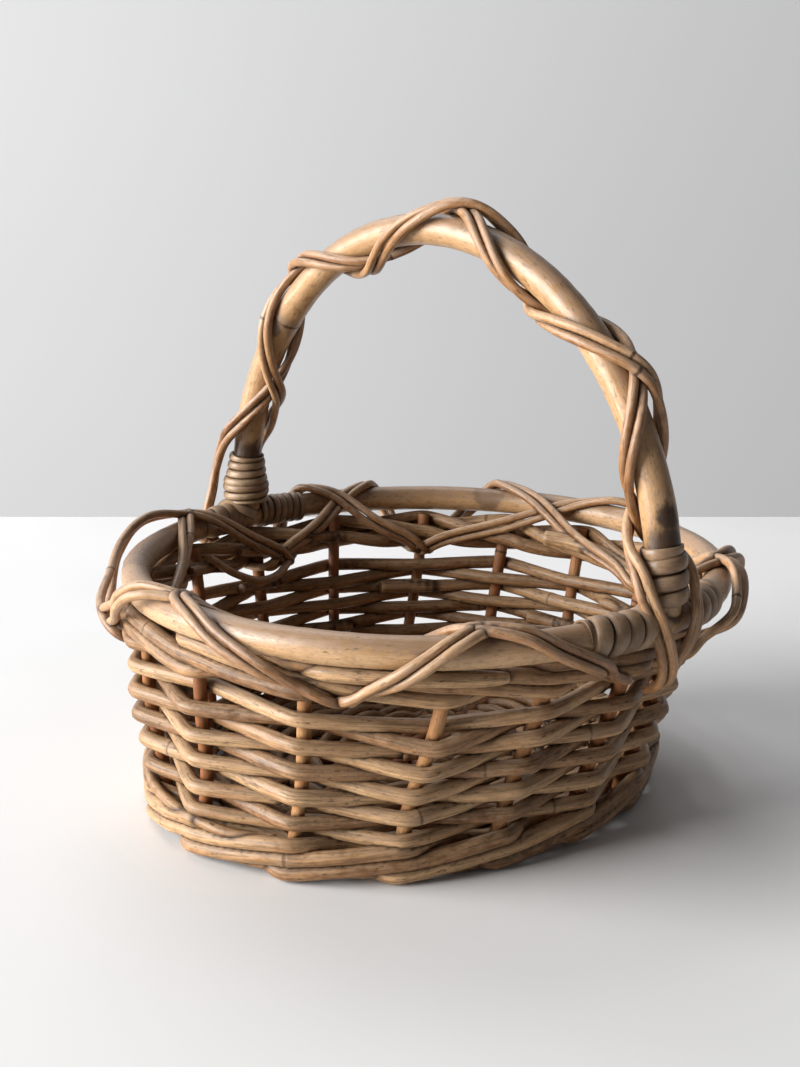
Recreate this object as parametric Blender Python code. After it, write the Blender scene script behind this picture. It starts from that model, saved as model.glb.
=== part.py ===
"""Woven cane basket with a fixed arched handle.

Metres, +Z up.  The handle stands in the XZ plane; the basket rests on Z = 0.
Every rod, hoop, strip and stick is its own closed body.
"""

import math

import bmesh
import bpy

# ---------------------------------------------------------------- dimensions
CLEAR = 0.00035

STAKES = 16
STAKE_R = 0.0028
STAKE_FOOT_Z = 0.0040
STAKE_TOP_Z = 0.1010

ROD_R = 0.0029
ROD_OUT = STAKE_R + ROD_R + 0.0005
ROD_FLAT = math.radians(2.3)

ROWS = 10
ROW_FIRST_Z = 0.0215
ROW_PITCH = 0.0062

WALE_STRANDS = 4
WALE_R = 0.00275
WALE_STEP = 0.0066
FOOT_WALE_Z = WALE_R * math.cos(math.radians(30.0)) + WALE_STEP
TOP_WALE_Z = 0.0950

FOOT_RADIUS = 0.1190
FOOT_OVAL = 0.086
FOOT_LONG_AXIS = math.radians(78.0)
FOOT_CENTRE = (-0.0089, -0.0073)

RIM_RADIUS = 0.1360
RIM_Z = 0.1110
RIM_R = 0.0066

HANDLE_R = 0.0073
HANDLE_RISE = 0.1480
HANDLE_FOOT_Z = RIM_Z + RIM_R + 0.0005
HANDLE_STEPS = 24

STRIP_THICK = 0.0014
STRIP_GAP = 0.0004

LACE_R = 0.0015
LACE_LAYER = 0.0036
LACE_PERIODS = 7
LACE_TOP_ANGLE = math.radians(14.4)
LACE_PAIR_ANGLE = math.radians(1.6)
LACE_GAP_Z = 0.0831
LACE_GAP_STEP = math.radians(1.85)
LACE_GAP_SHIFT = math.radians(6.0)
FOOT_BULGE = 0.0024
FOOT_BULGE_ANGLE = math.radians(25.0)

WRAP_TURN = math.radians(46.4)
WRAP_CROSS = math.radians(14.4)
WRAP_PAIR = math.radians(15.5)
WRAP_RADIUS = 0.0098
WRAP_OVER_STRIP = 0.0118

BASE_STICK_R = 0.0026
BASE_STICK_OFFSET = 0.0070
BASE_LOW_Z = 0.0070
BASE_HIGH_Z = 0.0166
BASE_RINGS = 5

CANE = (0.62, 0.47, 0.30)
PEELED = (0.66, 0.50, 0.31)
WEATHERED = (0.42, 0.33, 0.24)
REDDISH = (0.36, 0.19, 0.09)
TAUPE = (0.40, 0.33, 0.27)


# ------------------------------------------------------------------ helpers
def clear_scene():
    for obj in list(bpy.data.objects):
        bpy.data.objects.remove(obj, do_unlink=True)


def make_material(name, colour, roughness):
    mat = bpy.data.materials.new(name)
    mat.use_nodes = True
    shader = mat.node_tree.nodes["Principled BSDF"]
    shader.inputs["Base Color"].default_value = (colour[0], colour[1], colour[2], 1.0)
    shader.inputs["Roughness"].default_value = roughness
    shader.inputs["Metallic"].default_value = 0.0
    return mat


def add(a, b, scale=1.0):
    return (a[0] + b[0] * scale, a[1] + b[1] * scale, a[2] + b[2] * scale)


def dot(a, b):
    return a[0] * b[0] + a[1] * b[1] + a[2] * b[2]


def unit(a):
    size = math.sqrt(dot(a, a))
    return (a[0] / size, a[1] / size, a[2] / size)


def place_object(name, data, material, colour, roughness):
    obj = bpy.data.objects.new(name, data)
    bpy.context.scene.collection.objects.link(obj)
    data.materials.append(make_material(material, colour, roughness))
    return obj


def rod(name, points, radius, sides, closed, material, colour, roughness):
    """A round rod: a curve through the points with a round bevel."""
    curve = bpy.data.curves.new(name, "CURVE")
    curve.dimensions = "3D"
    curve.twist_mode = "Z_UP" if closed else "MINIMUM"
    curve.bevel_depth = radius
    curve.bevel_resolution = (sides - 4) // 2
    curve.use_fill_caps = not closed
    spline = curve.splines.new("POLY")
    spline.points.add(len(points) - 1)
    for target, point in zip(spline.points, points):
        target.co = (point[0], point[1], point[2], 1.0)
        target.tilt = 0.0 if closed else math.pi / sides
    spline.use_cyclic_u = closed
    spline.use_smooth = True
    return place_object(name, curve, material, colour, roughness)


def strip(name, sections, material, colour, roughness):
    """A flat strip: a ring of four edges carried along and bridged."""
    shape = bmesh.new()
    rings = []
    for section in sections:
        corners = [shape.verts.new(corner) for corner in section]
        rings.append(corners)
    for first, second in zip(rings, rings[1:]):
        for k in range(4):
            n = (k + 1) % 4
            shape.faces.new((first[k], first[n], second[n], second[k]))
    shape.faces.new(rings[0])
    shape.faces.new(rings[-1])
    bmesh.ops.recalc_face_normals(shape, faces=shape.faces)
    mesh = bpy.data.meshes.new(name)
    shape.to_mesh(mesh)
    shape.free()
    return place_object(name, mesh, material, colour, roughness)


# ----------------------------------------------------------------- the wall
def stake_line(theta, z):
    """Middle of the wall at one angle and height: wider at the rim."""
    inset = ROD_OUT + ROD_R
    oval = 1.0 + FOOT_OVAL * math.cos(2.0 * (theta - FOOT_LONG_AXIS))
    foot = FOOT_RADIUS * oval - inset
    top = RIM_RADIUS - inset
    share = z / RIM_Z
    x = (1.0 - share) * (FOOT_CENTRE[0] + foot * math.cos(theta)) + share * top * math.cos(theta)
    y = (1.0 - share) * (FOOT_CENTRE[1] + foot * math.sin(theta)) + share * top * math.sin(theta)
    return x, y


def wall_point(theta, z, outward):
    x, y = stake_line(theta, z)
    return (x + outward * math.cos(theta), y + outward * math.sin(theta), z)


def stake_angle(index):
    return 2.0 * math.pi * index / STAKES


def build_stakes():
    for index in range(STAKES):
        theta = stake_angle(index)
        foot = wall_point(theta, STAKE_FOOT_Z, 0.0)
        top = wall_point(theta, STAKE_TOP_Z, 0.0)
        rod("stake_%02d" % (index + 1), [foot, top], STAKE_R, 8, False, "stake_cane", REDDISH, 0.62)


def build_weave():
    """Each row goes in front of one stake and behind the next."""
    for row in range(ROWS):
        z = ROW_FIRST_Z + row * ROW_PITCH
        points = []
        for index in range(STAKES):
            side = ROD_OUT if (row + index) % 2 == 0 else -ROD_OUT
            for turn in (-ROD_FLAT, ROD_FLAT):
                points.append(wall_point(stake_angle(index) + turn, z, side))
        rod("weave_row_%02d" % (row + 1), points, ROD_R, 6, True, "weaving_rod", WEATHERED, 0.6)


def build_wale(prefix, middle_z, twist):
    """Four strands twisted round the stakes: in front of three, behind one.

    With twist 1 a strand sinks from stake to stake, with twist -1 it climbs.
    """
    at_stake = ((-1.0, 0.0), (1.0, 1.0), (1.0, 0.0), (1.0, -1.0))
    between = ((-1.0, 0.8), (1.0, 0.5), (1.0, -0.5), (-1.0, -0.8))
    for strand in range(WALE_STRANDS):
        points = []
        for index in range(STAKES):
            place = (index + strand) % WALE_STRANDS
            steps = (
                (-ROD_FLAT, at_stake[place]),
                (ROD_FLAT, at_stake[place]),
                (math.pi / STAKES, between[place]),
            )
            for turn, (outward, rise) in steps:
                angle = stake_angle(index) + turn
                height = middle_z + twist * rise * WALE_STEP
                points.append(wall_point(angle, height, outward * ROD_OUT))
        name = "%s_%d" % (prefix, strand + 1)
        rod(name, points, WALE_R, 6, True, "wale_rod", CANE, 0.58)


# ----------------------------------------------------------------- the base
def build_base():
    """Crossed sticks with rings that ride over one pair and under the other."""
    for index, side in enumerate((-1.0, 1.0)):
        y = FOOT_CENTRE[1] + side * BASE_STICK_OFFSET
        half = FOOT_RADIUS * (1.0 - FOOT_OVAL) - 0.0215
        ends = [(FOOT_CENTRE[0] + s * half, y, BASE_LOW_Z) for s in (-1.0, 1.0)]
        rod("base_stick_%d" % (index + 1), ends, BASE_STICK_R, 8, False, "base_stick", REDDISH, 0.65)
    for index, side in enumerate((-1.0, 1.0)):
        x = FOOT_CENTRE[0] + side * BASE_STICK_OFFSET
        half = FOOT_RADIUS * (1.0 + FOOT_OVAL) - 0.0230
        ends = [(x, FOOT_CENTRE[1] + s * half, BASE_HIGH_Z) for s in (-1.0, 1.0)]
        rod("base_stick_%d" % (index + 3), ends, BASE_STICK_R, 8, False, "base_stick", REDDISH, 0.65)
    middle = (BASE_LOW_Z + BASE_HIGH_Z) / 2.0
    wave = (BASE_HIGH_Z - BASE_LOW_Z) / 2.0 - BASE_STICK_R - ROD_R - CLEAR
    for ring in range(BASE_RINGS):
        share = 0.26 + 0.145 * ring
        points = []
        steps = 20
        for k in range(steps):
            theta = 2.0 * math.pi * (k + 0.5) / steps
            oval = 1.0 + FOOT_OVAL * math.cos(2.0 * (theta - FOOT_LONG_AXIS))
            reach = share * (FOOT_RADIUS * oval - 0.010)
            x = FOOT_CENTRE[0] + reach * math.cos(theta)
            y = FOOT_CENTRE[1] + reach * math.sin(theta)
            z = middle - wave * math.cos(2.0 * theta)
            points.append((x, y, z))
        name = "base_ring_%d" % (ring + 1)
        rod(name, points, ROD_R, 6, True, "base_rod", WEATHERED, 0.66)


# ------------------------------------------------------------ rim and handle
def rim_point(theta, outward, rise):
    reach = RIM_RADIUS + outward
    return (reach * math.cos(theta), reach * math.sin(theta), RIM_Z + rise)


def build_rim():
    steps = 48
    points = [rim_point(2.0 * math.pi * k / steps, 0.0, 0.0) for k in range(steps)]
    rod("rim_hoop", points, RIM_R, 8, True, "rim_cane", PEELED, 0.5)


def handle_point(t):
    x = RIM_RADIUS * math.cos(t)
    z = HANDLE_FOOT_Z + HANDLE_RISE * math.sin(t)
    return (x, 0.0, z)


def handle_frame(t):
    """Direction along the arch, the way out of it, and sideways."""
    along = unit((-RIM_RADIUS * math.sin(t), 0.0, HANDLE_RISE * math.cos(t)))
    outward = (along[2], 0.0, -along[0])
    return along, outward, (0.0, 1.0, 0.0)


def build_handle():
    points = [handle_point(math.pi * k / HANDLE_STEPS) for k in range(HANDLE_STEPS + 1)]
    rod("handle_arch", points, HANDLE_R, 10, False, "handle_cane", PEELED, 0.48)


# ----------------------------------------------------------------- bindings
def strip_sections(place, turns, per_turn, length, inner):
    """A flat strip wound as a coil; place() gives centre and three directions."""
    pitch = length / turns
    width = pitch - STRIP_GAP
    span = length - width
    sections = []
    steps = int(turns * per_turn)
    for k in range(steps + 1):
        share = k / steps
        centre, along, outward, side = place(width / 2.0 + span * share)
        turn = 2.0 * math.pi * turns * share * (span / pitch) / turns
        radial = add((0.0, 0.0, 0.0), outward, math.cos(turn))
        radial = add(radial, side, math.sin(turn))
        low = add(centre, radial, inner)
        high = add(centre, radial, inner + STRIP_THICK)
        sections.append(
            [
                add(low, along, -width / 2.0),
                add(high, along, -width / 2.0),
                add(high, along, width / 2.0),
                add(low, along, width / 2.0),
            ]
        )
    return sections


def build_handle_binding(name, right, turns, length):
    """Coil round the handle just above its foot."""
    direction = 1.0 if right else -1.0

    def place(distance):
        t = (0.0018 + distance) / HANDLE_RISE
        t = math.asin(min(1.0, t))
        if not right:
            t = math.pi - t
        along, outward, side = handle_frame(t)
        up = (along[0] * direction, 0.0, along[2] * direction)
        out = (outward[0], 0.0, outward[2])
        return handle_point(t), up, out, (0.0, direction, 0.0)

    inner = (HANDLE_R + CLEAR) / math.cos(math.pi / 9)
    strip(name, strip_sections(place, turns, 9, length, inner), "binding_strip", TAUPE, 0.55)


def build_rim_binding(name, start, end, turns):
    """Coil round the rim hoop between two angles."""
    length = abs(end - start) * RIM_RADIUS

    def place(distance):
        theta = start + (end - start) * distance / length
        along = (-math.sin(theta), math.cos(theta), 0.0)
        outward = (math.cos(theta), math.sin(theta), 0.0)
        return rim_point(theta, 0.0, 0.0), along, outward, (0.0, 0.0, 1.0)

    inner = (RIM_R + CLEAR) / math.cos(math.pi / 9)
    strip(name, strip_sections(place, turns, 9, length, inner), "binding_strip", TAUPE, 0.55)


# ------------------------------------------------------------------- lacing
def foot_nearness(theta):
    """1 beside a handle foot, 0 away from it."""
    away = abs(math.sin(theta))
    limit = math.sin(FOOT_BULGE_ANGLE)
    share = max(0.0, min(1.0, 1.6 * (1.0 - away / limit)))
    return share * share * (3.0 - 2.0 * share)


def lace_cycle(layer):
    """One turn of a lacing rod round rim and top wale, as
    (share of the pitch, measured from rim, outward, rise or height)."""
    return (
        (0.00, True, 0.0000, 0.0096 + layer),
        (0.07, True, 0.0069 + layer * 0.7, 0.0072 + layer * 0.7),
        (0.15, True, 0.0096 + layer, 0.0000),
        (0.24, True, 0.0080 + layer, -0.0080),
        (0.40, False, ROD_OUT + ROD_R + 0.0021 + layer, 0.0925),
        (0.45, False, ROD_OUT + ROD_R + 0.0016 + layer, LACE_GAP_Z),
        (0.45, False, -ROD_OUT - ROD_R - 0.0016 - layer, LACE_GAP_Z),
        (0.50, False, -ROD_OUT - ROD_R - 0.0024 - layer, 0.0930),
        (0.62, False, -ROD_OUT - ROD_R - 0.0024 - layer, 0.1030),
        (0.87, True, -0.0089 - layer * 0.7, 0.0054 + layer * 0.7),
    )


def gap_shift(low):
    """Turn that keeps the passage through the wall between two stakes."""
    width = 2.0 * math.pi / STAKES
    middle = (math.floor(low / width) + 0.5) * width
    return middle + max(-LACE_GAP_SHIFT, min(LACE_GAP_SHIFT, low - middle)) - low


def build_rim_lacing(prefix, direction, layer):
    pitch = 2.0 * math.pi / LACE_PERIODS
    for strand, lean in enumerate((-1.0, 1.0)):
        points = []
        for period in range(LACE_PERIODS):
            for share, on_rim, outward, height in lace_cycle(layer):
                low = LACE_TOP_ANGLE + direction * pitch * (period + 0.5)
                shift = gap_shift(low)
                hold = max(0.0, min(1.0, 1.5 - abs(share - 0.45) / 0.25))
                theta = LACE_TOP_ANGLE + direction * pitch * (period + share)
                theta += lean * LACE_PAIR_ANGLE + shift * hold
                if share == 0.45:
                    theta = low + shift - direction * LACE_GAP_STEP
                    theta += lean * LACE_GAP_STEP / 2.0
                near = foot_nearness(theta)
                if on_rim:
                    bulge = 1.0 + FOOT_BULGE / 0.0096 * near
                    points.append(rim_point(theta, outward * bulge, height * bulge))
                elif outward > 0.0:
                    points.append(wall_point(theta, height, outward + FOOT_BULGE * near))
                else:
                    points.append(wall_point(theta, height, outward))
        points = points[3:]
        name = "%s_%d" % (prefix, strand + 1)
        rod(name, points, LACE_R, 4, False, "lacing_rod", WEATHERED, 0.5)


def tail_points(right, lean, leading):
    """End of a handle lacing rod: over the rim and down its outside."""
    facing = 1.0 if right else -1.0
    lift = 0.0 if right else LACE_LAYER + FOOT_BULGE
    step = 0.0 if leading else 0.0042
    low = -0.0010 if right else 0.0030
    reach = RIM_RADIUS + lift
    line = (
        (RIM_RADIUS + 0.0030 - step, 0.0125 + step * 0.7, HANDLE_FOOT_Z + 0.0085),
        (reach + 0.0068, 0.0102 + step, RIM_Z + 0.0105),
        (reach + 0.0098, 0.0080 + step, RIM_Z + 0.0010),
        (reach + 0.0080 + low * 0.4, 0.0052 + step, RIM_Z - 0.0080),
        (reach + low, 0.0022 + step, RIM_Z - 0.0180),
    )
    return [(facing * x, lean * y, z) for x, y, z in line]


def build_handle_lacing(prefix, direction, layer):
    for strand, shift in enumerate((-1.0, 1.0)):
        start = math.radians(6.0)
        stop = math.radians(166.0)
        steps = 36
        points = []
        leads = []
        for k in range(steps + 1):
            t = start + (stop - start) * k / steps
            near = min(t, math.pi - t)
            over = max(0.0, min(1.0, (math.radians(24.0) - near) / math.radians(9.0)))
            radius = WRAP_RADIUS + (WRAP_OVER_STRIP - WRAP_RADIUS) * over + layer
            pair = WRAP_PAIR * WRAP_RADIUS / radius
            turn = math.pi + direction * 2.0 * math.pi * (t - WRAP_CROSS) / WRAP_TURN
            leads.append(math.cos(turn + shift * pair) > math.cos(turn - shift * pair))
            turn += shift * pair
            along, outward, side = handle_frame(t)
            point = add(handle_point(t), outward, radius * math.cos(turn))
            points.append(add(point, side, radius * math.sin(turn)))
        right_lean = 1.0 if points[0][1] > 0.0 else -1.0
        left_lean = 1.0 if points[-1][1] > 0.0 else -1.0
        head = tail_points(True, right_lean, leads[0])
        tail = tail_points(False, left_lean, leads[-1])
        path = head[::-1] + points + tail
        name = "%s_%d" % (prefix, strand + 1)
        rod(name, path, LACE_R, 4, False, "lacing_rod", WEATHERED, 0.5)


def settle_origin():
    """Put the middle of the overall box over the origin."""
    bpy.context.view_layer.update()
    graph = bpy.context.evaluated_depsgraph_get()
    low = [1.0, 1.0]
    high = [-1.0, -1.0]
    for obj in bpy.data.objects:
        for corner in obj.evaluated_get(graph).bound_box:
            for axis in (0, 1):
                low[axis] = min(low[axis], corner[axis])
                high[axis] = max(high[axis], corner[axis])
    for obj in bpy.data.objects:
        obj.location.x = -(low[0] + high[0]) / 2.0
        obj.location.y = -(low[1] + high[1]) / 2.0


def main():
    clear_scene()
    build_base()
    build_wale("foot_wale", FOOT_WALE_Z, -1.0)
    build_stakes()
    build_weave()
    build_wale("top_wale", TOP_WALE_Z, 1.0)
    build_rim()
    build_handle()
    build_handle_binding("handle_binding_right", True, 4, 0.0225)
    build_handle_binding("handle_binding_left", False, 6, 0.0255)
    build_rim_binding("rim_binding_right_a", math.radians(-18.0), math.radians(-6.0), 5)
    build_rim_binding("rim_binding_right_b", math.radians(5.5), math.radians(14.0), 4)
    build_rim_binding("rim_binding_left_a", math.radians(165.5), math.radians(175.0), 6)
    build_rim_binding("rim_binding_left_b", math.radians(185.0), math.radians(192.0), 3)
    build_rim_lacing("rim_lacing_a", 1.0, 0.0)
    build_rim_lacing("rim_lacing_b", -1.0, LACE_LAYER)
    build_handle_lacing("handle_lacing_a", 1.0, 0.0)
    build_handle_lacing("handle_lacing_b", -1.0, LACE_LAYER)
    settle_origin()


main()
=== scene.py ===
import random
from math import asin, cos, exp, floor, pi, radians, sin

import bmesh
import bpy
import numpy as np
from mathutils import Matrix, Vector
from mathutils.kdtree import KDTree


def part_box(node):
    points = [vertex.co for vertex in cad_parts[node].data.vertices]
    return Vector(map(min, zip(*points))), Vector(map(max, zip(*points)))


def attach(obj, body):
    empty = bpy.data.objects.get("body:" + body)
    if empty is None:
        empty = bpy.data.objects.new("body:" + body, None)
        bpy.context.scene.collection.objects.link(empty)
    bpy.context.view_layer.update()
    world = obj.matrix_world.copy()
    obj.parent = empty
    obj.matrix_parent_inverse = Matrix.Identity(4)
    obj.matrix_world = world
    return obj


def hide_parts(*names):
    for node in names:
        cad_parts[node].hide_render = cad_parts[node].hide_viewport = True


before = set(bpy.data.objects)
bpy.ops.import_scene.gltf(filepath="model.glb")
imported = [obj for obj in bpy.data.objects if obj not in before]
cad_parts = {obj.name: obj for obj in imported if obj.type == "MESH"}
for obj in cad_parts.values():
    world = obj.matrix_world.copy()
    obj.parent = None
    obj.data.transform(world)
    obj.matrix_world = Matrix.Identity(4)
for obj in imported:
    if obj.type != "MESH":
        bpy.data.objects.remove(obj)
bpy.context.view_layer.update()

TAU = 2.0 * pi

# ---- dimensions
# In metres. The rim hoop's box gives the middle of the rim. R is a radius across
# a rod, OUT how far its middle lies from the line of the stakes, Z a height.
MIDDLE = np.mean(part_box("rim_hoop"), axis=0) * (1.0, 1.0, 0.0)
RIM_RADIUS = 0.1360
RIM_Z = 0.1110
RIM_R = 0.0067
HANDLE_R = 0.0074
HANDLE_FOOT_Z = 0.1181
HANDLE_RISE = 0.1480

STAKES = 16
REACH = 8  # stakes that one weaving rod passes before the next takes over
STAKE_R = 0.0031
ROD_R = 0.0034
WALE_R = 0.0036
ROD_OUT = 0.0062
ROD_REACH = 0.0029
ROD_FLAT = radians(1.6)
ROWS = 10
ROW_FIRST_Z = 0.0215
ROW_PITCH = 0.0062
WALE_STEP = 0.0066
FOOT_WALE_Z = 0.0104
TOP_WALE_Z = 0.0950

FOOT_RADIUS = 0.1190
FOOT_OVAL = 0.086
FOOT_LONG_AXIS = radians(78.0)
FOOT_CENTRE = (-0.0089, -0.0073)

LACE_R = 0.00212
# Where the two pairs of the handle's lacing cross, in degrees along the arch.
CROSSINGS = (-8.8, 14.4, 36.0, 59.0, 80.5, 106.0, 127.0, 152.0, 175.2)

# How far some stakes lean along the wall, at the foot and at the top, in
# degrees, and how pale some are.
LEANS = {12: (-2.2, -2.0), 13: (-1.6, -0.2), 14: (-1.0, 3.6), 15: (-0.4, 1.6)}
STAKE_TINTS = {11: 0.35, 12: 0.30, 13: 0.95, 14: 0.90, 15: 0.65}


# ---- path helpers
def smooth(points, rounds):
    """Cuts the corners of an open path, keeping its two ends."""
    path = np.asarray(points, float)
    for _ in range(rounds):
        near = path[:-1] * 0.75 + path[1:] * 0.25
        far = path[:-1] * 0.25 + path[1:] * 0.75
        cut = np.empty((len(near) * 2, 3))
        cut[0::2] = near
        cut[1::2] = far
        path = np.vstack([path[:1], cut, path[-1:]])
    return path


def lengths(path):
    steps = np.linalg.norm(np.diff(path, axis=0), axis=1)
    return np.concatenate([[0.0], np.cumsum(steps)])


def resample(path, step):
    """Even points along a path."""
    run = lengths(path)
    count = max(4, int(round(run[-1] / step)))
    marks = np.linspace(0.0, run[-1], count + 1)
    return np.stack([np.interp(marks, run, path[:, k]) for k in range(3)], axis=1)


def unit_rows(rows):
    return rows / (np.linalg.norm(rows, axis=1)[:, None] + 1e-12)


def tangents(path):
    return unit_rows(np.gradient(path, axis=0))


def carried_frames(path):
    """Two directions across the path that turn as little as they can."""
    along = tangents(path)
    guide = np.array([0.0, 0.0, 1.0]) if abs(along[0][2]) < 0.8 else np.array([1.0, 0.0, 0.0])
    across = np.empty_like(path)
    first = np.cross(along[0], guide)
    across[0] = first / np.linalg.norm(first)
    for i in range(1, len(path)):
        kept = across[i - 1] - along[i] * np.dot(across[i - 1], along[i])
        across[i] = kept / np.linalg.norm(kept)
    return across, np.cross(across, along)


def wander(run, rng, scale, waves=5):
    """A smooth random curve between about -1 and 1 along a length."""
    total = np.zeros_like(run)
    for wave in range(waves):
        reach = scale * rng.uniform(0.45, 1.6)
        total += rng.uniform(0.3, 1.0) * np.sin(TAU * run / reach + rng.uniform(0.0, TAU))
    return total / (waves * 0.55)


# ---- mesh helpers
def add_object(name, data):
    obj = bpy.data.objects.new(name, data)
    bpy.context.scene.collection.objects.link(obj)
    return obj


def make_piece(name, verts, faces, material, node, fields):
    """A finished piece: riding on the body, standing for its CAD node."""
    mesh = bpy.data.meshes.new(name)
    mesh.from_pydata([tuple(v) for v in verts], [], faces)
    for field, values in fields.items():
        values = np.asarray(values, np.float32)
        kind, key = ("FLOAT_VECTOR", "vector") if values.ndim == 2 else ("FLOAT", "value")
        store = mesh.attributes.new(field, kind, "POINT")
        store.data.foreach_set(key, values.ravel())
    for poly in mesh.polygons:
        poly.use_smooth = True
    mesh.materials.append(material)
    obj = add_object(name, mesh)
    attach(obj, "root")
    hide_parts(node)
    return obj


RODS = []


def node_marks(total, rng, spacing):
    """Places of the cane's joints along its length."""
    marks = []
    place = rng.uniform(0.15, 0.9) * spacing
    while place < total:
        marks.append(place)
        place += spacing * rng.uniform(0.7, 1.3)
    return marks


def rod(name, path, radius, material, node, slot, rng, **look):
    """A natural cane or willow rod: uneven, jointed, with cut ends. tips gives
    its size at the two ends, scar its stained places, and the second field beside scar its patches of
    painted shade."""
    sides = look.get("sides", 14)
    tips = look.get("tips", (1.0, 1.0))
    tip_length = look.get("tip_length", 0.02)
    rough = look.get("rough", 1.0)
    joint_half = 0.0021
    bevel = 0.86
    path = resample(path, look.get("step", 0.0022))
    run = lengths(path)
    total = run[-1]
    marks = look.get("marks")
    if marks is None:
        marks = node_marks(total, rng, look.get("spacing", 0.34))
    size = radius * (1.0 + 0.045 * rough * wander(run, rng, 0.11))
    size *= 1.0 + 0.018 * rough * wander(run, rng, 0.018)
    nearest = np.full_like(run, 1.0)
    for mark in marks:
        away = run - mark
        size += radius * look.get("swell", 0.075) * np.exp(-((away / joint_half) ** 2))
        nearest = np.where(np.abs(away) < np.abs(nearest), away, nearest)
    start_share = np.clip(run / tip_length, 0.0, 1.0)
    end_share = np.clip((total - run) / tip_length, 0.0, 1.0)
    size *= tips[0] + (1.0 - tips[0]) * start_share ** 0.6
    size *= tips[1] + (1.0 - tips[1]) * end_share ** 0.6
    across, up = carried_frames(path)
    turns = np.arange(sides) * TAU / sides
    phase = rng.uniform(0.0, TAU) + 0.6 * wander(run, rng, 0.16)
    oval = 1.0 + 0.035 * rough * np.cos(2.0 * (turns[None, :] + phase[:, None]))
    reach = size[:, None] * oval
    cosine = np.cos(turns)[None, :] * reach
    sine = np.sin(turns)[None, :] * reach
    rings = path[:, None, :] + across[:, None, :] * cosine[:, :, None]
    rings = rings + up[:, None, :] * sine[:, :, None]
    shift = rng.uniform(0.0, 9.0)
    depth = np.repeat(run[:, None] + shift, sides, axis=1)
    grain = np.stack([cosine, sine, depth], axis=2)
    verts = [rings.reshape(-1, 3)]
    grains = [grain.reshape(-1, 3)]
    tint = look.get("tint", rng.uniform(0.0, 1.0))
    tints = np.repeat(tint + 0.12 * wander(run, rng, 0.25), sides)
    joint = np.repeat(nearest, sides)
    count = len(path)
    faces = []
    for i in range(count - 1):
        a = i * sides
        b = a + sides
        for k in range(sides):
            n = (k + 1) % sides
            faces.append((a + k, b + k, b + n, a + n))
    along = tangents(path)
    base = count * sides
    for end, sign in ((0, -1.0), (count - 1, 1.0)):
        out = along[end] * sign
        inner = path[end] + (rings[end] - path[end]) * bevel + out * size[end] * 0.10
        middle = path[end] + out * size[end] * (0.10 + rng.uniform(0.0, 0.05))
        verts += [inner, middle[None, :]]
        inner_grain = grain[end].copy()
        inner_grain[:, :2] *= bevel
        grains += [inner_grain, np.array([[0.0, 0.0, run[end] + shift]])]
        ring = end * sides
        for k in range(sides):
            n = (k + 1) % sides
            quad = (ring + k, ring + n, base + n, base + k)
            fan = (base + k, base + n, base + sides)
            if sign > 0.0:
                quad = quad[::-1]
                fan = fan[::-1]
            faces.append(quad)
            faces.append(fan)
        base += sides + 1
    cut_end = [0.75] * sides + [1.0]
    fields = {
        "rod": np.vstack(grains),
        "tint": np.concatenate([tints, [tint] * len(cut_end) * 2]),
        "joint": np.concatenate([joint, [1.0] * len(cut_end) * 2]),
        "cut": np.concatenate([np.zeros(len(joint)), cut_end * 2]),
    }
    for field in ("scar", "soot"):
        if field in look:
            skin = np.vstack(verts)
            values = np.zeros(len(skin))
            for spot, reach in look[field]:
                away = np.linalg.norm(skin - spot, axis=1)
                values = np.maximum(values, np.exp(-((away / reach) ** 2)))
            fields[field] = values
    obj = make_piece(name, np.vstack(verts), faces, material, node, fields)
    RODS.append((obj, path, size, sides))


# Across the strip and up from what it lies on, as shares of half its width and
# of its thickness.
STRIP_PROFILE = (
    (-1.0, 0.0), (-0.98, 0.34), (-0.84, 0.68), (-0.50, 0.93), (0.0, 1.0),
    (0.50, 0.93), (0.84, 0.68), (0.98, 0.34), (1.0, 0.0),
)


def make_strip(name, verts, grains, tints, edge_shades, node):
    """A closed strip from rows of the profile's points."""
    size = len(STRIP_PROFILE)
    faces = []
    for a in range(0, len(verts) - size, size):
        for k in range(size):
            n = (k + 1) % size
            faces.append((a + k, a + n, a + size + n, a + size + k))
    faces.append(tuple(reversed(range(size))))
    faces.append(tuple(range(len(verts) - size, len(verts))))
    zeros = np.zeros(len(verts))
    fields = {
        "rod": np.array(grains),
        "tint": zeros + tints,
        "joint": zeros + 1.0,
        "cut": zeros,
        # Painted shade along the strip's edges.
        "near": np.array(edge_shades) * 0.8,
    }
    obj = make_piece(name, verts, faces, BINDING, node, fields)
    shape = bmesh.new()
    shape.from_mesh(obj.data)
    bmesh.ops.recalc_face_normals(shape, faces=shape.faces)
    shape.to_mesh(obj.data)
    shape.free()


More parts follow.
